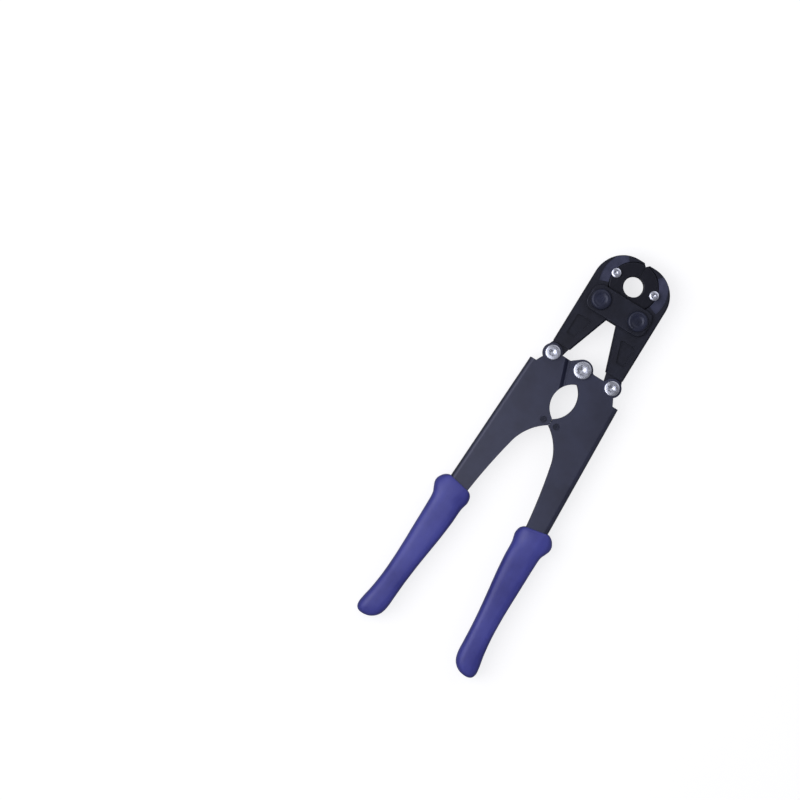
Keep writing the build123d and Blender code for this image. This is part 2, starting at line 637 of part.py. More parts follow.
def grip_plan():
    """The right grip seen from the front: eared at its mouth, waisted, and turned outwards at its heel."""
    mouth = Line(GRIP_MOUTH_OUTER, GRIP_MOUTH_INNER)
    inner_ear = TangentArc(GRIP_MOUTH_INNER, EAR_INNER_FOOT, tangent=mouth % 1)
    palm = ThreePointArc(EAR_INNER_FOOT, GRIP_PALM, GRIP_WAIST)
    inner = TangentArc(GRIP_WAIST, GRIP_TOE, tangent=palm % 1)
    sole = Line(GRIP_TOE, GRIP_HEEL)
    back = Line(EAR_OUTER_FOOT, GRIP_BACK)
    flare = TangentArc(GRIP_BACK, GRIP_HEEL, tangent=back % 1)
    outer_ear = TangentArc(GRIP_MOUTH_OUTER, EAR_OUTER_FOOT, tangent=-(mouth % 0))
    plan = make_face(mouth + inner_ear + palm + inner + sole + flare + back + outer_ear)
    corners = {GRIP_TOE: GRIP_TOE_R, GRIP_HEEL: GRIP_HEEL_R,
               EAR_INNER_FOOT: EAR_BLEND_R, EAR_OUTER_FOOT: EAR_BLEND_R}
    for (x, y), radius in corners.items():
        plan = fillet(plan.vertices().sort_by_distance((x, y, 0))[0], radius)
    return plan


def right_grip():
    """The soft grip: a waisted body with ears and a slanting mouth, hollow where the tang goes in."""
    body = slab(grip_plan(), -GRIP_T / 2, GRIP_T / 2)
    rims = [e for e in body.edges() if at_height(e, GRIP_T / 2)]
    return fillet(rims, GRIP_EDGE_R) - tang_core()


def build_parts():
    """Every piece of the tool by name, in its place."""
    right_channel = at_handles(right_handle_channel())
    grip = at_handles(right_grip())
    toggle_bolt = at_handles(right_toggle_bolt())
    toggle_washer = at_handles(rear_washer(TOGGLE_X, TOGGLE_R))
    toggle_nut = at_handles(rear_nut(TOGGLE_X, TOGGLE_R))
    pivot_pin = right_pivot_pin()
    pivot_nut = right_pivot_nut()
    die_half = right_die_half()
    die_screw = right_die_screw()
    strap = front_strap()
    return {
        "right_jaw": right_jaw() - timing_lobe(LOBE_R + LOBE_CLEAR),
        "left_jaw": left_jaw(),
        "right_die_half": die_half,
        "left_die_half": flipped(die_half),
        "right_die_screw": die_screw,
        "left_die_screw": flipped(die_screw),
        "front_strap": strap,
        "rear_strap": to_rear(strap),
        "right_pivot_pin": pivot_pin,
        "left_pivot_pin": flipped(pivot_pin),
        "right_pivot_nut": pivot_nut,
        "left_pivot_nut": flipped(pivot_nut),
        "right_handle_channel": right_channel,
        "left_handle_channel": at_handles(left_handle_channel()),
        "right_grip": grip,
        "left_grip": flipped(grip),
        "right_toggle_bolt": toggle_bolt,
        "left_toggle_bolt": flipped(toggle_bolt),
        "right_toggle_washer": toggle_washer,
        "left_toggle_washer": flipped(toggle_washer),
        "right_toggle_nut": toggle_nut,
        "left_toggle_nut": flipped(toggle_nut),
        "centre_bolt": at_handles(centre_bolt()),
        "centre_washer": at_handles(rear_washer(0, CENTRE_D / 2)),
        "centre_nut": at_handles(rear_nut(0, CENTRE_D / 2)),
        "centre_spacer": at_handles(centre_spacer()),
        "right_stop_block": at_handles(stop_block(1)),
        "left_stop_block": at_handles(stop_block(-1) - adjuster_hole()),
        "right_stop_screws": at_handles(stop_screws(1)),
        "left_stop_screws": at_handles(stop_screws(-1)),
        "stop_adjusting_screw": at_handles(adjusting_screw()),
        "stop_lock_nut": at_handles(adjuster_nut()),
    }


os.makedirs(OUT, exist_ok=True)
for part_name, part_shape in build_parts().items():
    write(part_name, part_shape)
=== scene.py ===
import json
import math

import bmesh
import bpy
from bpy.props import FloatProperty, FloatVectorProperty, IntProperty, PointerProperty
from mathutils import Matrix, Vector


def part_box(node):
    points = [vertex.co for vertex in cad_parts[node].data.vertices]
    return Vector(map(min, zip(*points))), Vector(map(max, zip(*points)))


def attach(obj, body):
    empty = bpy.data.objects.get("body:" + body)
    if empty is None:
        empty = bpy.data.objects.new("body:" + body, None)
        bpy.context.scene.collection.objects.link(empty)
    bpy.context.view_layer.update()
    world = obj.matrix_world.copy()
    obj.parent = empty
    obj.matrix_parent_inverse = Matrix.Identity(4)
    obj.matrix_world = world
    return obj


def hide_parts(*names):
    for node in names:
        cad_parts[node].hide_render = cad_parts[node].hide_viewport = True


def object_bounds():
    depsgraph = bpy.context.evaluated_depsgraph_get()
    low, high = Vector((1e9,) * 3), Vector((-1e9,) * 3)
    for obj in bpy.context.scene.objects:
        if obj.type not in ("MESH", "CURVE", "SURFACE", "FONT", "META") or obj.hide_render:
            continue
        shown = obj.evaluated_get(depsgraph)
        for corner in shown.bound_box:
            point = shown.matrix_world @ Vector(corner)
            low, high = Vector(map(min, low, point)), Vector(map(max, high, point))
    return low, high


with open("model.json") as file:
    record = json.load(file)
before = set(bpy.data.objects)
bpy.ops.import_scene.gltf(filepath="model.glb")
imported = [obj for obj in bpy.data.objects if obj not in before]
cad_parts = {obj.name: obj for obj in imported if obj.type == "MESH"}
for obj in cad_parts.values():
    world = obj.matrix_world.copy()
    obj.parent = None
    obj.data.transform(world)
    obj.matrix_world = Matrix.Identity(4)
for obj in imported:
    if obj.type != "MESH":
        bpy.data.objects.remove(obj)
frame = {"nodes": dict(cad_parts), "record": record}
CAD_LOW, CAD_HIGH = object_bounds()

bl_info = {
    "name": "Crimp Ring Tool",
    "version": (1, 0, 0),
    "blender": (4, 5, 0),
    "location": "View3D > Sidebar > Crimp Tool",
    "description": "Dresses a two-handed crimp ring tool: jaws, dies, handles, grips and fasteners",
    "category": "Add Mesh",
}

MM = 0.001
SEGMENTS = 96
RECORD = frame["record"]
BODY_OF = {node: body for body, nodes in RECORD["behaviour"]["bodies"].items() for node in nodes}


def linear(hex_colour):
    """An sRGB hex colour as linear red, green and blue."""
    channels = [int(hex_colour[i:i + 2], 16) / 255 for i in (1, 3, 5)]
    return tuple(c / 12.92 if c <= 0.04045 else ((c + 0.055) / 1.055) ** 2.4 for c in channels)


def length(name, millimetres, description):
    """A length property whose default is given in millimetres."""
    return FloatProperty(name=name, description=description, default=millimetres * MM, min=0.0, unit="LENGTH")


def colour(name, hex_colour, description):
    """A colour property whose default is given as an sRGB hex value."""
    return FloatVectorProperty(name=name, description=description, default=linear(hex_colour),
                               size=3, min=0.0, max=1.0, subtype="COLOR")


class CrimperSizes(bpy.types.PropertyGroup):
    """The sizes that the finished pieces add to the frame's own."""
    jaw_edge: length("Jaw edge break", 0.7, "Rounded edge of the machined jaws and dies")
    sheet_edge: length("Sheet edge break", 0.45, "Rounded edge of the folded sheet")
    strap_edge: length("Strap edge break", 0.3, "Rounded edge of the straps and small steel blocks")
    bolt_shank: length("Handle bolt diameter", 8.0, "Shank of the three handle bolts")
    bolt_socket: length("Handle bolt socket", 6.0, "Hexagon socket across its flats")
    centre_socket: length("Centre bolt socket", 8.0, "Hexagon socket of the centre bolt across its flats")
    pin_shank: length("Pivot pin diameter", 10.0, "Shank of the jaw pivots")
    die_screw_shank: length("Die screw diameter", 5.0, "Shank of the die screws")
    die_screw_socket: length("Die screw socket", 3.4, "Hexagon socket of the die screws across its flats")
    thread_pitch: length("Thread pitch", 0.8, "Pitch of the adjusting screw's thread")
    thread_depth: length("Thread depth", 0.4, "Depth of the adjusting screw's thread")
    parting_ridge: length("Parting ridge", 0.3, "Height of the mould line along the grips' sides")
    knurl_depth: length("Knurl depth", 0.22, "Depth of the straight knurl round the bolt heads")


class CrimperColours(bpy.types.PropertyGroup):
    """The colours of the finishes."""
    oxide: colour("Black oxide", "#0D0E17", "Ground of the black jaws and dies")
    oxide_bloom: colour("Oxide bloom", "#171926", "Paler bloom in the black oxide")
    # Recess: a paler black for the floor of the shallow recess beside each die screw.
    paler_recess: colour("Recess", "#3A3C54", "Paler shallow recess beside the die screws")
    coat: colour("Handle coat", "#1A1C2C", "Coat of the folded handles")
    coat_bloom: colour("Handle coat bloom", "#24273B", "Paler clouds in the handles' coat")
    vinyl: colour("Grip vinyl", "#3A3D8C", "Ground of the grips")
    vinyl_deep: colour("Grip vinyl, deep", "#2B2D78", "Deeper clouds in the grips' vinyl")
    zinc: colour("Zinc", "#C6C9DA", "Bright zinc of the bolts and screws")
    bare_steel: colour("Worn steel", "#5C5E72", "Steel where the black has worn off")
    floor: colour("Floor", "#F2F2F4", "Studio floor and backdrop")


class CrimperStudio(bpy.types.PropertyGroup):
    """The camera and the lights."""
    distance: FloatProperty(name="Camera distance", description="Height of the camera over the tool",
                            default=3.0, min=0.1, unit="LENGTH")
    field: FloatProperty(name="Field width", description="Width of the picture at the tool",
                         default=0.696, min=0.01, unit="LENGTH")
    turn: FloatProperty(name="Camera turn", description="Turn of the camera about its own line of sight",
                        default=math.radians(31.6), subtype="ANGLE")
    centre: FloatVectorProperty(name="Picture centre", description="The point of the tool's plane in mid picture",
                                default=(-0.1213, -0.1897, 0.0), size=3, subtype="XYZ")
    key_power: FloatProperty(name="Key light", description="Power of the large soft light in watts",
                             default=13.0, min=0.0)
    fill_power: FloatProperty(name="Fill light", description="Power of the fill light in watts",
                              default=4.0, min=0.0)
    near_power: FloatProperty(name="Near light", description="Power of the small near light in watts",
                              default=0.5, min=0.0)
    ambient: FloatProperty(name="Ambient level", description="Level of the even light from all round",
                           default=0.4, min=0.0)


# Shader nodes

def per_mm(size):
    """The texture scale at which one cell of a pattern is this many millimetres."""
    return 1.0 / (size * MM)


def add(tree, kind, links=None, **settings):
    """Adds one shader node: settings are its own, links give its sockets a value or another node's output."""
    node = tree.nodes.new(kind)
    for name, value in settings.items():
        setattr(node, name, value)
    for socket, value in (links or {}).items():
        if isinstance(value, bpy.types.NodeSocket):
            tree.links.new(value, node.inputs[socket])
        else:
            node.inputs[socket].default_value = value
    return node


def start_material(name):
    """An empty node material, its tree and the object coordinates that its patterns read."""
    material = bpy.data.materials.new(name)
    material.use_nodes = True
    tree = material.node_tree
    tree.nodes.clear()
    where = add(tree, "ShaderNodeTexCoord").outputs["Object"]
    return material, tree, where


def finish_material(tree, surface):
    """Joins a shader to the material's output."""
    add(tree, "ShaderNodeOutputMaterial", {"Surface": surface})


def worn_edge(tree, where, cover, patch_mm):
    """Where a coat has worn through: the edge mask, broken up by patches of the given size."""
    edge = add(tree, "ShaderNodeAttribute", attribute_name="edge_wear").outputs["Fac"]
    patch = add(tree, "ShaderNodeTexNoise", {"Vector": where, "Scale": per_mm(patch_mm), "Detail": 5.0,
                                             "Roughness": 0.65}).outputs["Fac"]
    both = add(tree, "ShaderNodeMath", {0: edge, 1: patch}, operation="MULTIPLY").outputs[0]
    return add(tree, "ShaderNodeMapRange", {"Value": both, "From Min": cover, "From Max": cover + 0.12,
                                            "To Min": 0.0, "To Max": 1.0}).outputs["Result"]


def black_oxide(name, ground, bloom, worn, roughness, wear_cover):
    """Hot black oxide on ground steel, oiled: near black with a cold bloom, fine grinding lines,
    a satin gloss, and grey steel showing where the edges are handled."""
    material, tree, where = start_material(name)
    cloud = add(tree, "ShaderNodeTexNoise", {"Vector": where, "Scale": per_mm(14.0), "Detail": 4.0,
                                             "Roughness": 0.6}).outputs["Fac"]
    grain = add(tree, "ShaderNodeTexNoise", {"Vector": where, "Scale": per_mm(0.45), "Detail": 3.0,
                                             "Roughness": 0.7}).outputs["Fac"]
    along = add(tree, "ShaderNodeMapping", {"Vector": where, "Scale": (1.0, 0.06, 1.0)}).outputs["Vector"]
    lines = add(tree, "ShaderNodeTexNoise", {"Vector": along, "Scale": per_mm(0.5), "Detail": 2.0,
                                             "Roughness": 0.5}).outputs["Fac"]
    clouded = add(tree, "ShaderNodeMapRange", {"Value": cloud, "From Min": 0.35, "From Max": 0.7}).outputs["Result"]
    black = add(tree, "ShaderNodeMix", {"Factor": clouded, "A": (*ground, 1.0), "B": (*bloom, 1.0)},
                data_type="RGBA")
    speck = add(tree, "ShaderNodeMapRange", {"Value": grain, "From Min": 0.3, "From Max": 0.75,
                                             "To Min": 0.82, "To Max": 1.25}).outputs["Result"]
    mottled = add(tree, "ShaderNodeVectorMath", {0: mix_colour(black), "Scale": speck}, operation="SCALE")
    wear = worn_edge(tree, where, wear_cover, 3.5)
    skin = add(tree, "ShaderNodeMix", {"Factor": wear, "A": mottled.outputs["Vector"], "B": (*worn, 1.0)},
               data_type="RGBA")
    rough = add(tree, "ShaderNodeMapRange", {"Value": lines, "From Min": 0.3, "From Max": 0.7,
                                             "To Min": roughness - 0.06, "To Max": roughness + 0.08})
    height = add(tree, "ShaderNodeMath", {0: grain, 1: lines}, operation="ADD").outputs[0]
    bump = add(tree, "ShaderNodeBump", {"Height": height, "Strength": 0.35, "Distance": 0.04 * MM})
    metal = add(tree, "ShaderNodeMath", {0: wear, 1: 0.8}, operation="MULTIPLY").outputs[0]
    shader = add(tree, "ShaderNodeBsdfPrincipled", {
        "Base Color": mix_colour(skin), "Metallic": metal, "Roughness": rough.outputs["Result"],
        "Specular IOR Level": 0.32, "Specular Tint": (0.78, 0.8, 1.0, 1.0), "Normal": bump.outputs["Normal"]})
    finish_material(tree, shader.outputs["BSDF"])
    return material


def mix_colour(node):
    """The colour output of a Mix node set to colours."""
    return node.outputs[2]


def powder_coat(name, ground, bloom, worn):
    """Semi-gloss powder coat on folded sheet: a smooth dark skin with slight orange peel, soft clouds,
    dust-fine specks, and chips at the cut edges."""
    material, tree, where = start_material(name)
    cloud = add(tree, "ShaderNodeTexNoise", {"Vector": where, "Scale": per_mm(30.0), "Detail": 3.0,
                                             "Roughness": 0.55}).outputs["Fac"]
    peel = add(tree, "ShaderNodeTexNoise", {"Vector": where, "Scale": per_mm(1.4), "Detail": 1.5,
                                            "Roughness": 0.4}).outputs["Fac"]
    dust = add(tree, "ShaderNodeTexNoise", {"Vector": where, "Scale": per_mm(0.35), "Detail": 2.0,
                                            "Roughness": 0.6}).outputs["Fac"]
    clouded = add(tree, "ShaderNodeMapRange", {"Value": cloud, "From Min": 0.35, "From Max": 0.65}).outputs["Result"]
    dark = add(tree, "ShaderNodeMix", {"Factor": clouded, "A": (*ground, 1.0), "B": (*bloom, 1.0)},
               data_type="RGBA")
    wear = worn_edge(tree, where, 0.56, 7.0)
    skin = add(tree, "ShaderNodeMix", {"Factor": wear, "A": mix_colour(dark), "B": (*worn, 1.0)},
               data_type="RGBA")
    rough = add(tree, "ShaderNodeMapRange", {"Value": dust, "From Min": 0.3, "From Max": 0.75,
                                             "To Min": 0.32, "To Max": 0.44})
    height = add(tree, "ShaderNodeMath", {0: peel, 1: dust}, operation="ADD").outputs[0]
    bump = add(tree, "ShaderNodeBump", {"Height": height, "Strength": 0.25, "Distance": 0.05 * MM})
    shader = add(tree, "ShaderNodeBsdfPrincipled", {
        "Base Color": mix_colour(skin), "Roughness": rough.outputs["Result"],
        "Specular IOR Level": 0.6, "Specular Tint": (0.72, 0.74, 1.0, 1.0), "Normal": bump.outputs["Normal"]})
    finish_material(tree, shader.outputs["BSDF"])
    return material


def soft_vinyl(name, ground, deep):
    """Soft PVC moulded over the tangs: an even blue with deeper clouds, a satin skin with a fine grain,
    and faint scuffs that dull it in patches."""
    material, tree, where = start_material(name)
    cloud = add(tree, "ShaderNodeTexNoise", {"Vector": where, "Scale": per_mm(38.0), "Detail": 3.0,
                                             "Roughness": 0.55}).outputs["Fac"]
    grain = add(tree, "ShaderNodeTexNoise", {"Vector": where, "Scale": per_mm(0.5), "Detail": 3.0,
                                             "Roughness": 0.6}).outputs["Fac"]
    long_way = add(tree, "ShaderNodeMapping", {"Vector": where, "Scale": (1.0, 0.25, 1.0)}).outputs["Vector"]
    scuff = add(tree, "ShaderNodeTexNoise", {"Vector": long_way, "Scale": per_mm(5.0), "Detail": 6.0,
                                             "Roughness": 0.7}).outputs["Fac"]
    clouded = add(tree, "ShaderNodeMapRange", {"Value": cloud, "From Min": 0.35, "From Max": 0.68}).outputs["Result"]
    blue = add(tree, "ShaderNodeMix", {"Factor": clouded, "A": (*ground, 1.0), "B": (*deep, 1.0)},
               data_type="RGBA")
    tone = add(tree, "ShaderNodeMapRange", {"Value": scuff, "From Min": 0.45, "From Max": 0.8,
                                            "To Min": 1.0, "To Max": 1.18}).outputs["Result"]
    rubbed = add(tree, "ShaderNodeVectorMath", {0: mix_colour(blue), "Scale": tone}, operation="SCALE")
    rough = add(tree, "ShaderNodeMapRange", {"Value": scuff, "From Min": 0.35, "From Max": 0.75,
                                             "To Min": 0.4, "To Max": 0.54})
    bump = add(tree, "ShaderNodeBump", {"Height": grain, "Strength": 0.3, "Distance": 0.05 * MM})
    shader = add(tree, "ShaderNodeBsdfPrincipled", {
        "Base Color": rubbed.outputs["Vector"], "Roughness": rough.outputs["Result"],
        "Specular IOR Level": 0.5, "Specular Tint": (0.8, 0.8, 1.0, 1.0), "Normal": bump.outputs["Normal"]})
    finish_material(tree, shader.outputs["BSDF"])
    return material


def bright_zinc(name, metal):
    """Bright zinc plate on turned steel: a cool silver with faint turning marks, tiny pits
    and a soft blur in its reflections."""
    material, tree, where = start_material(name)
    stain = add(tree, "ShaderNodeTexNoise", {"Vector": where, "Scale": per_mm(4.0), "Detail": 4.0,
                                             "Roughness": 0.6}).outputs["Fac"]
    pits = add(tree, "ShaderNodeTexNoise", {"Vector": where, "Scale": per_mm(0.25), "Detail": 2.0,
                                            "Roughness": 0.6}).outputs["Fac"]
    tone = add(tree, "ShaderNodeMapRange", {"Value": stain, "From Min": 0.35, "From Max": 0.7,
                                            "To Min": 1.0, "To Max": 0.82}).outputs["Result"]
    silver = add(tree, "ShaderNodeVectorMath", {0: metal, "Scale": tone}, operation="SCALE")
    rough = add(tree, "ShaderNodeMapRange", {"Value": stain, "From Min": 0.3, "From Max": 0.7,
                                             "To Min": 0.22, "To Max": 0.36})
    bump = add(tree, "ShaderNodeBump", {"Height": pits, "Strength": 0.25, "Distance": 0.02 * MM})
    shader = add(tree, "ShaderNodeBsdfPrincipled", {
        "Base Color": silver.outputs["Vector"], "Metallic": 1.0, "Roughness": rough.outputs["Result"],
        "Normal": bump.outputs["Normal"]})
    finish_material(tree, shader.outputs["BSDF"])
    return material


def studio_floor(name, pale):
    """Painted studio floor: matt and grey to the light, and raised to white where the camera looks at it."""
    material, tree, where = start_material(name)
    mist = add(tree, "ShaderNodeTexNoise", {"Vector": where, "Scale": per_mm(400.0), "Detail": 2.0}).outputs["Fac"]
    tone = add(tree, "ShaderNodeMapRange", {"Value": mist, "To Min": 0.3, "To Max": 0.34}).outputs["Result"]
    paint = add(tree, "ShaderNodeVectorMath", {0: pale, "Scale": tone}, operation="SCALE").outputs["Vector"]
    matt = add(tree, "ShaderNodeBsdfDiffuse", {"Color": paint}).outputs["BSDF"]
    seen = add(tree, "ShaderNodeLightPath").outputs["Is Camera Ray"]
    level = add(tree, "ShaderNodeMath", {0: seen, 1: 0.86}, operation="MULTIPLY").outputs[0]
    glow = add(tree, "ShaderNodeEmission", {"Color": (*pale, 1.0), "Strength": level}).outputs["Emission"]
    both = add(tree, "ShaderNodeAddShader", {0: matt, 1: glow}).outputs["Shader"]
    finish_material(tree, both)
    return material


# Mesh tools

def round_loop(radius, height):
    """A loop of constant radius."""
    return lambda angle: (radius, height)


def hex_radius(across, angle):
    """The distance from a hexagon's centre to its edge in one direction."""
    sixth = math.pi / 3
    return across / 2 / math.cos((angle % sixth) - sixth / 2)


def hex_loop(across, height):
    """A loop along a hexagon."""
    return lambda angle: (hex_radius(across, angle), height)


def scallop_loop(across, limit, height, slope):
    """A loop along the curved edge where a cone cuts a hexagon's corners."""
    return lambda angle: (hex_radius(across, angle), height - (hex_radius(across, angle) - limit) * slope)


def knurl_loop(radius, depth, height):
    """A loop of fine teeth."""
    return lambda angle: (radius - depth * (round(angle / (2 * math.pi) * SEGMENTS) % 2), height)


def spread(verts, shape, axis_x, axis_y):
    """Moves a ring of vertices onto a loop, each along its own direction from the axis."""
    for vert in verts:
        angle = math.atan2(vert.co.y - axis_y, vert.co.x - axis_x)
        radius, height = shape(angle)
        vert.co = (axis_x + radius * math.cos(angle), axis_y + radius * math.sin(angle), height)


def skin(loops, axis_x, axis_y):
    """An open tube over a stack of loops along Z, each a function of the angle, with its two end rings."""
    bm = bmesh.new()
    verts = bmesh.ops.create_circle(bm, cap_ends=False, segments=SEGMENTS, radius=1.0)["verts"]
    bmesh.ops.translate(bm, verts=verts, vec=(axis_x, axis_y, 0.0))
    spread(verts, loops[0], axis_x, axis_y)
    first = last = loop_edges(verts)
    for shape in loops[1:]:
        made = bmesh.ops.extrude_edge_only(bm, edges=last)["geom"]
        verts = [item for item in made if isinstance(item, bmesh.types.BMVert)]
        spread(verts, shape, axis_x, axis_y)
        last = loop_edges(verts)
    return bm, first, last


def stacked(loops, axis_x, axis_y):
    """A solid skinned over a stack of loops, closed at both ends."""
    bm, first, last = skin(loops, axis_x, axis_y)
    for ring in (first, last):
        bmesh.ops.contextual_create(bm, geom=ring)
    bmesh.ops.recalc_face_normals(bm, faces=bm.faces)
    return bm


def loop_edges(verts):
    """The edges between neighbours in a loop of vertices."""
    loop = set(verts)
    return list({edge for vert in verts for edge in vert.link_edges if edge.other_vert(vert) in loop})


def flipped(bm):
    """A copy of a mesh mirrored from the tool's right side to its left."""
    other = bm.copy()
    bmesh.ops.scale(other, verts=other.verts, vec=(-1.0, 1.0, 1.0))
    bmesh.ops.reverse_faces(other, faces=other.faces)
    return other


def broken_edges(node, width, steps=2):
    """A copy of a machined piece with every sharp edge rounded, and the rounded edges marked for wear."""
    bm = bmesh.new()
    bm.from_mesh(frame["nodes"][node].data)
    bmesh.ops.remove_doubles(bm, verts=bm.verts, dist=0.002 * MM)
    bmesh.ops.dissolve_limit(bm, angle_limit=math.radians(0.6), use_dissolve_boundaries=False,
                             verts=bm.verts, edges=bm.edges, delimit=set())
    sharp = [e for e in bm.edges if e.is_manifold and e.calc_face_angle() > math.radians(28)]
    made = bmesh.ops.bevel(bm, geom=sharp, offset=width, offset_type="OFFSET", segments=steps, profile=0.5,
                           affect="EDGES", clamp_overlap=True, material=-1)
    mark_wear(bm, made["faces"])
    return bm


def mark_wear(bm, rim_faces):
    """Marks the middle line of rounded edges, where a finish wears first."""
    rim = set(rim_faces)
    wear = bm.verts.layers.float.new("edge_wear")
    for vert in bm.verts:
        vert[wear] = float(all(face in rim for face in vert.link_faces))


def place(bm, node, slot, *materials, smooth_deg=35.0):
    """Turns a mesh into the piece that stands for a node and rides on its body."""
    mesh = bpy.data.meshes.new(node + "_finished")
    for face in bm.faces:
        face.smooth = True
    bm.to_mesh(mesh)
    bm.free()
    mesh.set_sharp_from_angle(angle=math.radians(smooth_deg))
    for material in materials:
        mesh.materials.append(material)
    piece = bpy.data.objects.new(node + "_finished", mesh)
    bpy.context.scene.collection.objects.link(piece)
    even = piece.modifiers.new("Even shading", "WEIGHTED_NORMAL")
    even.keep_sharp = True
    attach(piece, BODY_OF[node])
    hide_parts(node)
    return piece


def place_pair(bm, name, slot, *materials, smooth_deg=35.0):
    """Places a right-hand mesh and its mirror as the right and left piece of that name."""
    place(flipped(bm), "left_" + name, slot, *materials, smooth_deg=smooth_deg)
    place(bm, "right_" + name, slot, *materials, smooth_deg=smooth_deg)


def middle(node):
    """The middle of a node's box."""
    low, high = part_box(node)
    return (low + high) / 2


# Fasteners

def socket_bolt_loops(node, shank, socket, knurl, seat, depth_share=0.5):
    """The loops of a socket head bolt, from its tip up and down into its socket."""
    low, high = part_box(node)
    head = (high.x - low.x) / 2
    bolt = shank / 2
    edge = 0.8 * MM
    thread = 0.35 * MM
    skirt = 0.3 * MM
    floor = high.z - (high.z - seat) * depth_share
    socket_edge = 0.25 * MM
    drill = socket * 0.32
    loops = [round_loop(bolt - 2 * thread, low.z), round_loop(bolt - thread, low.z + thread)]
    for turn in range(4):
        height = low.z + thread * (2 + 2 * turn)
        loops += [round_loop(bolt, height), round_loop(bolt - thread, height + thread)]
    loops += [round_loop(bolt, low.z + thread * 11), round_loop(bolt, seat),
              round_loop(head - skirt, seat), round_loop(head, seat + skirt), round_loop(head, seat + 2 * skirt)]
    loops += [knurl_loop(head, knurl, seat + 3 * skirt), knurl_loop(head, knurl, high.z - edge - 2 * skirt)]
    loops += [round_loop(head, high.z - edge - skirt), round_loop(head, high.z - edge),
              round_loop(head - 0.3 * edge, high.z - 0.3 * edge), round_loop(head - edge, high.z),
              hex_loop(socket + 2 * socket_edge, high.z), hex_loop(socket, high.z - socket_edge),
              hex_loop(socket, floor), round_loop(drill, floor), round_loop(drill * 0.05, floor - drill * 0.4)]
    return loops


def nut_loops(node, hole):
    """The loops of a chamfered hexagon nut round a bolt."""
    low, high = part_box(node)
    across = min(high.x - low.x, high.y - low.y)
    limit = across / 2 * 0.94
    slope = math.tan(math.radians(30))
    rim = hole + 0.4 * MM
    return [round_loop(rim, low.z), round_loop(limit, low.z), scallop_loop(across, limit, low.z, -slope),
            scallop_loop(across, limit, high.z, slope), round_loop(limit, high.z), round_loop(rim, high.z),
            round_loop(hole, high.z - 0.4 * MM), round_loop(hole, low.z + 0.4 * MM), round_loop(rim, low.z)]


def ring_loops(node, hole, edge):
    """The loops of a washer or spacer round a bolt."""
    low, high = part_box(node)
    outer = (high.x - low.x) / 2
    return [round_loop(hole, low.z), round_loop(outer - edge, low.z), round_loop(outer, low.z + edge),
            round_loop(outer, high.z - edge), round_loop(outer - edge, high.z), round_loop(hole, high.z),
            round_loop(hole, low.z)]


def holed(loops, x, y):
    """A ring-shaped solid skinned over loops whose last meets the first."""
    bm, first, last = skin(loops, x, y)
    bmesh.ops.remove_doubles(bm, verts=bm.verts, dist=0.001 * MM)
    bmesh.ops.recalc_face_normals(bm, faces=bm.faces)
    return bm


def domed_pin_loops(node, shank, seat):
    """The loops of a pivot pin: threaded tip, shank and a head with a rounded shoulder round a shallow dish."""
    low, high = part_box(node)
    head = (high.x - low.x) / 2
    pin = shank / 2
    rise = high.z - seat
    thread = 0.35 * MM
    loops = [round_loop(pin - 2 * thread, low.z), round_loop(pin - thread, low.z + thread)]
    for turn in range(4):
        height = low.z + thread * (2 + 2 * turn)
        loops += [round_loop(pin, height), round_loop(pin - thread, height + thread)]
    loops += [round_loop(pin, low.z + thread * 11), round_loop(pin, seat), round_loop(head - 0.2 * MM, seat),
              round_loop(head, seat + 0.2 * MM), round_loop(head, seat + rise * 0.3)]
    for step in range(1, 9):
        lean = math.radians(90) * step / 8
        loops.append(round_loop(head * (0.74 + 0.26 * math.cos(lean)), seat + rise * (0.3 + 0.7 * math.sin(lean))))
    for step in range(1, 7):
        share = step / 6
        sunk = 0.55 * MM * (1 - math.cos(math.pi * share)) / 2
        loops.append(round_loop(head * (0.66 - 0.3 * share), high.z - sunk))
    return loops + [round_loop(head * 0.02, high.z - 0.55 * MM)]


def threaded_rod(radius, depth, pitch, span):
    """A rod along Z from 0 to span with a true helical thread, its ends cut square."""
    bm = bmesh.new()
    profile = ((radius - depth, 0.0), (radius, pitch * 0.38), (radius, pitch * 0.5),
               (radius - depth, pitch * 0.88), (radius - depth, pitch))
    for turn in range(-1, math.ceil(span / pitch) + 1):
        verts = [bm.verts.new((r, 0.0, z + pitch * turn)) for r, z in profile]
        edges = [bm.edges.new(pair) for pair in zip(verts, verts[1:])]
        bmesh.ops.spin(bm, geom=verts + edges, cent=(0, 0, 0), axis=(0, 0, 1), dvec=(0, 0, pitch / 32),
                       angle=2 * math.pi, steps=32, use_merge=False, use_duplicate=False)
    bmesh.ops.remove_doubles(bm, verts=bm.verts, dist=0.002 * MM)
    for height, side in ((0.0, -1.0), (span, 1.0)):
        cut = bmesh.ops.bisect_plane(bm, geom=bm.verts[:] + bm.edges[:] + bm.faces[:], dist=1e-7,
                                     plane_co=(0, 0, height), plane_no=(0, 0, side), clear_outer=True)
        rim = [item for item in cut["geom_cut"] if isinstance(item, bmesh.types.BMEdge)]
        bmesh.ops.contextual_create(bm, geom=rim)
    bmesh.ops.recalc_face_normals(bm, faces=bm.faces)
    return bm


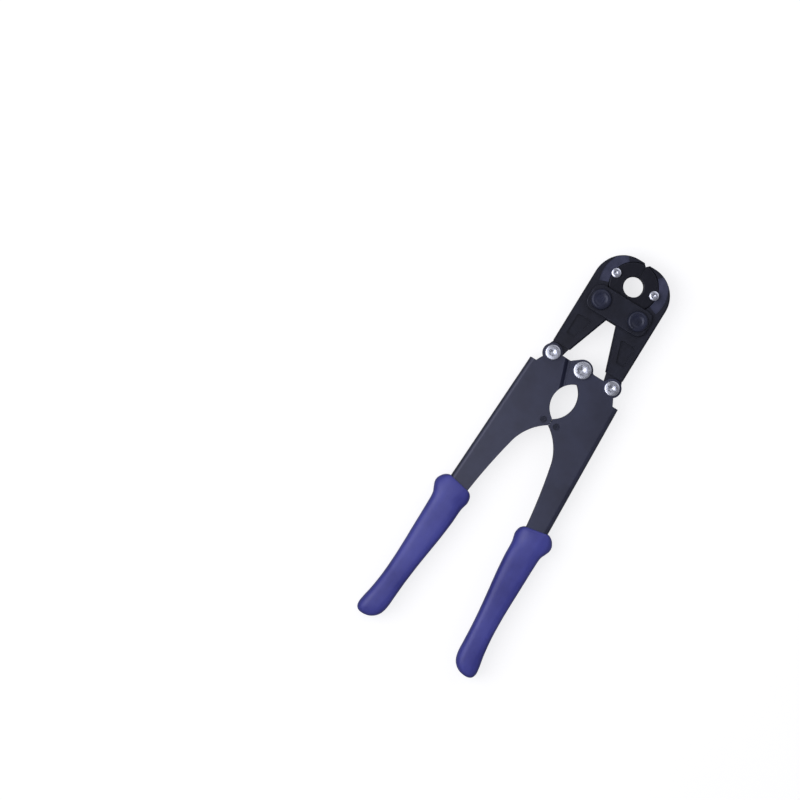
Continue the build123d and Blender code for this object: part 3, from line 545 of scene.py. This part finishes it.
# Grips: inner edge x, y, outer edge x, y, half thickness and squareness of each section, in millimetres
GRIP_SECTIONS = (
    (29.2, -226.2, 50.4, -222.1, 9.9, 6.5),
    (27.4, -227.3, 51.9, -222.7, 10.6, 4.6),
    (25.8, -229.2, 53.9, -223.9, 11.1, 3.7),
    (24.8, -231.9, 56.0, -226.0, 11.4, 3.1),
    (24.5, -235.6, 58.1, -229.9, 11.6, 2.8),
    (25.3, -239.2, 58.3, -234.0, 11.7, 2.8),
    (26.2, -243.0, 56.6, -238.6, 11.7, 3.1),
    (26.6, -248.0, 54.6, -244.0, 11.7, 3.7),
    (27.0, -257.0, 54.2, -255.0, 11.7, 4.0),
    (28.6, -273.0, 54.1, -275.0, 11.7, 4.0),
    (30.6, -288.0, 54.0, -292.0, 11.7, 4.0),
    (32.7, -304.0, 54.2, -308.0, 11.7, 4.0),
    (34.6, -322.0, 55.1, -325.0, 11.7, 4.0),
    (35.7, -338.0, 56.9, -340.0, 11.7, 3.9),
    (36.5, -349.5, 59.0, -351.0, 11.5, 3.6),
    (38.6, -356.6, 59.8, -357.4, 10.9, 3.3),
    (42.2, -361.0, 59.1, -361.2, 9.6, 3.0),
    (46.3, -363.5, 57.3, -363.4, 7.4, 2.6),
    (50.0, -364.4, 55.0, -364.4, 4.4, 2.2),
)
TANG_SECTIONS = (
    (29.9, -226.0, 49.5, -222.1, 9.3, 12.0),
    (30.3, -230.0, 49.8, -226.1, 9.3, 12.0),
    (39.7, -347.1, 54.4, -347.1, 9.3, 12.0),
)
MOULD_LINE_DEG = 0.9


def smooth_sections(sections, steps):
    """The sections with more between them, on one smooth curve through them all."""
    full = []
    last = len(sections) - 1
    for index in range(last):
        points = [sections[min(max(index + k, 0), last)] for k in (-1, 0, 1, 2)]
        for step in range(steps):
            t = step / steps
            full.append([b + 0.5 * t * (c - a + t * (2 * a - 5 * b + 4 * c - d + t * (3 * (b - c) + d - a)))
                         for a, b, c, d in zip(*points)])
    full.append(list(sections[last]))
    return full


def section_loop(bm, section, ridge):
    """One loop round a grip: a rounded oblong between its two edges, with the mould line on each side."""
    inner_x, inner_y, outer_x, outer_y, half_t, square = section
    inner, outer = Vector((inner_x, inner_y, 0.0)) * MM, Vector((outer_x, outer_y, 0.0)) * MM
    centre, reach = (inner + outer) / 2, (outer - inner) / 2
    even = [360 * k / 44 for k in range(44) if k % 22]
    sides = [side + shift for side in (0.0, 180.0) for shift in (-MOULD_LINE_DEG, 0.0, MOULD_LINE_DEG)]
    angles = sorted((a % 360) for a in even + sides)
    verts = bmesh.ops.create_circle(bm, cap_ends=False, segments=len(angles), radius=1.0)["verts"]
    for vert, angle in zip(verts, angles):
        c, s = math.cos(math.radians(angle)), math.sin(math.radians(angle))
        across = math.copysign(abs(c) ** (2 / square), c)
        up = math.copysign(abs(s) ** (2 / square), s) if abs(s) > 1e-9 else 0.0
        proud = ridge / reach.length if up == 0.0 else 0.0
        vert.co = centre + reach * (across + math.copysign(proud, across)) + Vector((0, 0, half_t * MM * up))
    return loop_edges(verts)


def grip(ridge):
    """The right grip: a soft sleeve lofted over its sections, with a pocket that holds the tang."""
    bm = bmesh.new()
    outside = [section_loop(bm, section, ridge) for section in smooth_sections(GRIP_SECTIONS, 4)]
    inside = [section_loop(bm, section, 0.0) for section in TANG_SECTIONS]
    for before, after in zip(outside, outside[1:]):
        bmesh.ops.bridge_loops(bm, edges=before + after)
    for before, after in zip(inside, inside[1:]):
        bmesh.ops.bridge_loops(bm, edges=before + after)
    bmesh.ops.bridge_loops(bm, edges=outside[0] + inside[0])
    for end in (outside[-1], inside[-1]):
        bmesh.ops.contextual_create(bm, geom=end)
    bmesh.ops.recalc_face_normals(bm, faces=bm.faces)
    return bm


# Materials by name, made once

def finish(name):
    """The finish of that name, made on first use."""
    found = bpy.data.materials.get(name)
    if found:
        return found
    tint = bpy.context.scene.crimper_colours
    recipes = {
        "Black oxide on ground steel": lambda: black_oxide(name, tint.oxide, tint.oxide_bloom, tint.bare_steel, 0.4, 0.5),
        "Black oxide on tool steel": lambda: black_oxide(name, tint.oxide, tint.oxide, tint.bare_steel, 0.34, 0.52),
        "Black oxide on turned steel": lambda: black_oxide(name, tint.oxide_bloom, tint.coat_bloom, tint.bare_steel,
                                                           0.3, 0.5),
        # The same black oxide with a paler ground, for the floor of the shallow recess beside each die screw.
        "Paler black oxide in the recess": lambda: black_oxide(name, tint.paler_recess, tint.coat_bloom, tint.bare_steel,
                                                      0.5, 0.6),
        "Powder coat on folded sheet": lambda: powder_coat(name, tint.coat, tint.coat_bloom, tint.bare_steel),
        "Moulded soft vinyl": lambda: soft_vinyl(name, tint.vinyl, tint.vinyl_deep),
        "Bright zinc plate": lambda: bright_zinc(name, tint.zinc),
    }
    return recipes[name]()


class CRIMPER_OT_jaws(bpy.types.Operator):
    """Dress the two jaws, with a paler colour on the shallow recess beside each die screw"""
    bl_idname = "crimper.jaws"
    bl_label = "Jaws"

    def execute(self, context):
        sizes = context.scene.crimper_sizes
        for node in ("right_jaw", "left_jaw"):
            bm = broken_edges(node, sizes.jaw_edge)
            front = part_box(node)[1].z
            for face in bm.faces:
                spot = face.calc_center_median()
                sunk = front - spot.z
                # The floor faces of the shallow recess, 0.5 to 1.5 mm below the front, take the paler second
                # material.
                if face.normal.z > 0.99 and 0.5 * MM < sunk < 1.5 * MM:
                    face.material_index = 1
            place(bm, node, "black_oxide_jaws", finish("Black oxide on ground steel"),
                  finish("Paler black oxide in the recess"))
        return {"FINISHED"}


class CRIMPER_OT_dies(bpy.types.Operator):
    """Dress the two die halves"""
    bl_idname = "crimper.dies"
    bl_label = "Die halves"

    def execute(self, context):
        sizes = context.scene.crimper_sizes
        for node in ("right_die_half", "left_die_half"):
            bm = broken_edges(node, sizes.strap_edge)
            place(bm, node, "hardened_dies", finish("Black oxide on tool steel"))
        return {"FINISHED"}


class CRIMPER_OT_die_screws(bpy.types.Operator):
    """Model the two low-head screws that hold the die halves"""
    bl_idname = "crimper.die_screws"
    bl_label = "Die screws"

    def execute(self, context):
        sizes = context.scene.crimper_sizes
        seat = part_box("right_die_half")[1].z
        loops = socket_bolt_loops("right_die_screw", sizes.die_screw_shank, sizes.die_screw_socket, 0.0, seat)
        spot = middle("right_die_screw")
        place_pair(stacked(loops, spot.x, spot.y), "die_screw", "zinc_fasteners", finish("Bright zinc plate"))
        return {"FINISHED"}


class CRIMPER_OT_straps(bpy.types.Operator):
    """Dress the front and rear straps"""
    bl_idname = "crimper.straps"
    bl_label = "Straps"

    def execute(self, context):
        sizes = context.scene.crimper_sizes
        for node in ("front_strap", "rear_strap"):
            bm = broken_edges(node, sizes.strap_edge)
            place(bm, node, "black_straps", finish("Black oxide on ground steel"))
        return {"FINISHED"}


class CRIMPER_OT_pivots(bpy.types.Operator):
    """Model the domed jaw pivot pins and their nuts"""
    bl_idname = "crimper.pivots"
    bl_label = "Jaw pivots"

    def execute(self, context):
        sizes = context.scene.crimper_sizes
        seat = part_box("front_strap")[1].z
        spot = middle("right_pivot_pin")
        black = finish("Black oxide on turned steel")
        pin = stacked(domed_pin_loops("right_pivot_pin", sizes.pin_shank, seat), spot.x, spot.y)
        place_pair(pin, "pivot_pin", "black_pivots", black, smooth_deg=50.0)
        nut = holed(nut_loops("right_pivot_nut", sizes.pin_shank / 2), spot.x, spot.y)
        place_pair(nut, "pivot_nut", "black_pivots", black)
        return {"FINISHED"}


class CRIMPER_OT_handle_bolts(bpy.types.Operator):
    """Model the three handle bolts with their washers and nuts"""
    bl_idname = "crimper.handle_bolts"
    bl_label = "Handle bolts"

    def execute(self, context):
        sizes = context.scene.crimper_sizes
        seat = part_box("right_handle_channel")[1].z
        zinc = finish("Bright zinc plate")
        hole = sizes.bolt_shank / 2
        spot = middle("right_toggle_bolt")
        loops = socket_bolt_loops("right_toggle_bolt", sizes.bolt_shank, sizes.bolt_socket, sizes.knurl_depth, seat)
        place_pair(stacked(loops, spot.x, spot.y), "toggle_bolt", "zinc_fasteners", zinc)
        washer = holed(ring_loops("right_toggle_washer", hole, 0.15 * MM), spot.x, spot.y)
        place_pair(washer, "toggle_washer", "zinc_fasteners", zinc)
        nut = holed(nut_loops("right_toggle_nut", hole), spot.x, spot.y)
        place_pair(nut, "toggle_nut", "zinc_fasteners", zinc)
        spot = middle("centre_bolt")
        loops = socket_bolt_loops("centre_bolt", sizes.bolt_shank, sizes.centre_socket, sizes.knurl_depth, seat)
        place(stacked(loops, spot.x, spot.y), "centre_bolt", "zinc_fasteners", zinc)
        washer = holed(ring_loops("centre_washer", hole, 0.15 * MM), spot.x, spot.y)
        place(washer, "centre_washer", "zinc_fasteners", zinc)
        nut = holed(nut_loops("centre_nut", hole), spot.x, spot.y)
        place(nut, "centre_nut", "zinc_fasteners", zinc)
        spacer = holed(ring_loops("centre_spacer", hole, 0.2 * MM), spot.x, spot.y)
        place(spacer, "centre_spacer", "zinc_fasteners", zinc)
        return {"FINISHED"}


class CRIMPER_OT_channels(bpy.types.Operator):
    """Dress the two folded handle channels"""
    bl_idname = "crimper.channels"
    bl_label = "Handle channels"

    def execute(self, context):
        sizes = context.scene.crimper_sizes
        for node in ("right_handle_channel", "left_handle_channel"):
            bm = broken_edges(node, sizes.sheet_edge)
            place(bm, node, "coated_handles", finish("Powder coat on folded sheet"))
        return {"FINISHED"}


class CRIMPER_OT_grips(bpy.types.Operator):
    """Model the two soft grips"""
    bl_idname = "crimper.grips"
    bl_label = "Grips"

    def execute(self, context):
        sizes = context.scene.crimper_sizes
        place_pair(grip(sizes.parting_ridge), "grip", "soft_grips", finish("Moulded soft vinyl"), smooth_deg=60.0)
        return {"FINISHED"}


class CRIMPER_OT_stop(bpy.types.Operator):
    """Dress the stop blocks and model their screws, the adjusting screw and its lock nut"""
    bl_idname = "crimper.stop"
    bl_label = "Stop"

    def execute(self, context):
        sizes = context.scene.crimper_sizes
        black = finish("Black oxide on turned steel")
        for node in ("right_stop_block", "left_stop_block"):
            place(broken_edges(node, sizes.strap_edge), node, "stop_steel", finish("Black oxide on tool steel"))
        for node in ("right_stop_screws", "left_stop_screws"):
            place(broken_edges(node, sizes.strap_edge / 3), node, "stop_steel", black)
        low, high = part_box("stop_adjusting_screw")
        rod = threaded_rod((high.z - low.z) / 2, sizes.thread_depth, sizes.thread_pitch, high.x - low.x)
        turn = Matrix.Translation((low.x, (low.y + high.y) / 2, (low.z + high.z) / 2))
        bmesh.ops.transform(rod, matrix=turn @ Matrix.Rotation(math.radians(90), 4, "Y"), verts=rod.verts)
        place(rod, "stop_adjusting_screw", "zinc_fasteners", finish("Bright zinc plate"))
        nut = broken_edges("stop_lock_nut", sizes.strap_edge / 2)
        place(nut, "stop_lock_nut", "zinc_fasteners", finish("Bright zinc plate"))
        return {"FINISHED"}


class CRIMPER_OT_stage(bpy.types.Operator):
    """Set up the floor, the soft lights, the backdrop and the camera"""
    bl_idname = "crimper.stage"
    bl_label = "Stage"

    def execute(self, context):
        scene = context.scene
        studio = scene.crimper_studio
        scene.view_settings.view_transform = "Standard"
        make_floor(scene)
        make_backdrop(scene, studio)
        turn = Matrix.Rotation(studio.turn, 4, "Z")
        make_softbox(scene, "Key softbox", turn @ Vector((-0.75, 0.1, 1.35)), studio, studio.key_power, 1.1)
        make_softbox(scene, "Fill softbox", turn @ Vector((0.9, 0.7, 1.2)), studio, studio.fill_power, 1.2)
        make_softbox(scene, "Near softbox", turn @ Vector((0.0, -0.05, 0.7)), studio, studio.near_power, 0.26)
        make_camera(scene, studio)
        return {"FINISHED"}


def make_floor(scene):
    """A pale floor that the tool lies on."""
    bm = bmesh.new()
    bmesh.ops.create_circle(bm, cap_ends=True, segments=SEGMENTS, radius=6.0)
    bmesh.ops.translate(bm, verts=bm.verts, vec=(0, 0, CAD_LOW.z))
    mesh = bpy.data.meshes.new("floor")
    bm.to_mesh(mesh)
    bm.free()
    mesh.materials.append(studio_floor("Painted studio floor", scene.crimper_colours.floor))
    floor = bpy.data.objects.new("floor", mesh)
    scene.collection.objects.link(floor)


def make_backdrop(scene, studio):
    """Even light from all round; a gloss sees a band of it halfway up, and the camera sees plain white."""
    world = bpy.data.worlds.new("Studio")
    world.use_nodes = True
    tree = world.node_tree
    tree.nodes.clear()
    way = add(tree, "ShaderNodeTexCoord").outputs["Generated"]
    part = add(tree, "ShaderNodeSeparateXYZ", {"Vector": way}).outputs
    above = add(tree, "ShaderNodeMapRange", {"Value": part["Z"], "From Min": 0.05, "From Max": 0.4,
                                             "To Min": 0.12, "To Max": 1.3}, interpolation_type="SMOOTHSTEP")
    below = add(tree, "ShaderNodeMapRange", {"Value": part["Z"], "From Min": 0.55, "From Max": 0.9,
                                             "To Min": 1.0, "To Max": 0.14}, interpolation_type="SMOOTHSTEP")
    side = add(tree, "ShaderNodeMapRange", {"Value": part["X"], "From Min": -0.8, "From Max": 0.8,
                                            "To Min": 1.1, "To Max": 0.45}).outputs["Result"]
    band = add(tree, "ShaderNodeMath", {0: above.outputs["Result"], 1: below.outputs["Result"]},
               operation="MULTIPLY").outputs[0]
    horizon = add(tree, "ShaderNodeMath", {0: band, 1: side}, operation="MULTIPLY").outputs[0]
    path = add(tree, "ShaderNodeLightPath")
    even = add(tree, "ShaderNodeMix", {"Factor": path.outputs["Is Glossy Ray"], "A": studio.ambient, "B": horizon})
    looked = add(tree, "ShaderNodeMath", {0: path.outputs["Is Camera Ray"], 1: path.outputs["Is Transmission Ray"]},
                 operation="MAXIMUM").outputs[0]
    level = add(tree, "ShaderNodeMix", {"Factor": looked, "A": even.outputs[0], "B": 1.0})
    light = add(tree, "ShaderNodeBackground", {"Color": (1.0, 1.0, 1.0, 1.0), "Strength": level.outputs[0]})
    add(tree, "ShaderNodeOutputWorld", {"Surface": light.outputs["Background"]})
    scene.world = world


def make_softbox(scene, name, offset, studio, power, side):
    """A square soft light over the picture's centre, turned to the tool."""
    data = bpy.data.lights.new(name, "AREA")
    data.shape = "SQUARE"
    data.size = side
    data.energy = power
    lamp = bpy.data.objects.new(name, data)
    centre = Vector(studio.centre)
    lamp.location = centre + offset
    lamp.visible_camera = False
    lamp.rotation_euler = (-offset).to_track_quat("-Z", "Y").to_euler()
    scene.collection.objects.link(lamp)


def make_camera(scene, studio):
    """A camera straight over the tool, turned as in the photograph."""
    data = bpy.data.cameras.new("Camera")
    data.sensor_width = 36.0
    data.lens = data.sensor_width * studio.distance / studio.field
    camera = bpy.data.objects.new("Camera", data)
    camera.location = Vector(studio.centre) + Vector((0, 0, studio.distance))
    camera.rotation_euler = (0.0, 0.0, studio.turn)
    scene.collection.objects.link(camera)
    scene.camera = camera


PIECE_OPERATORS = (CRIMPER_OT_jaws, CRIMPER_OT_dies, CRIMPER_OT_die_screws, CRIMPER_OT_straps, CRIMPER_OT_pivots,
                   CRIMPER_OT_handle_bolts, CRIMPER_OT_channels, CRIMPER_OT_grips, CRIMPER_OT_stop)


class CRIMPER_PT_tool(bpy.types.Panel):
    """The crimp tool's pieces, sizes and colours"""
    bl_idname = "CRIMPER_PT_tool"
    bl_label = "Crimp Ring Tool"
    bl_space_type = "VIEW_3D"
    bl_region_type = "UI"
    bl_category = "Crimp Tool"

    def draw(self, context):
        for operator in PIECE_OPERATORS + (CRIMPER_OT_stage,):
            self.layout.operator(operator.bl_idname)
        for group in (context.scene.crimper_sizes, context.scene.crimper_colours, context.scene.crimper_studio):
            box = self.layout.box()
            for name in group.__annotations__:
                box.prop(group, name)


CLASSES = (CrimperSizes, CrimperColours, CrimperStudio) + PIECE_OPERATORS + (CRIMPER_OT_stage, CRIMPER_PT_tool)


def register():
    """Registers the classes and hangs the settings on the scene."""
    for cls in CLASSES:
        bpy.utils.register_class(cls)
    bpy.types.Scene.crimper_sizes = PointerProperty(type=CrimperSizes)
    bpy.types.Scene.crimper_colours = PointerProperty(type=CrimperColours)
    bpy.types.Scene.crimper_studio = PointerProperty(type=CrimperStudio)


def unregister():
    """Takes the settings and the classes away again."""
    del bpy.types.Scene.crimper_studio
    del bpy.types.Scene.crimper_colours
    del bpy.types.Scene.crimper_sizes
    for cls in reversed(CLASSES):
        bpy.utils.unregister_class(cls)


def main():
    register()
    bpy.ops.crimper.stage()
    bpy.ops.crimper.jaws()
    bpy.ops.crimper.dies()
    bpy.ops.crimper.die_screws()
    bpy.ops.crimper.straps()
    bpy.ops.crimper.pivots()
    bpy.ops.crimper.handle_bolts()
    bpy.ops.crimper.channels()
    bpy.ops.crimper.grips()
    bpy.ops.crimper.stop()


if __name__ == "__main__":
    main()
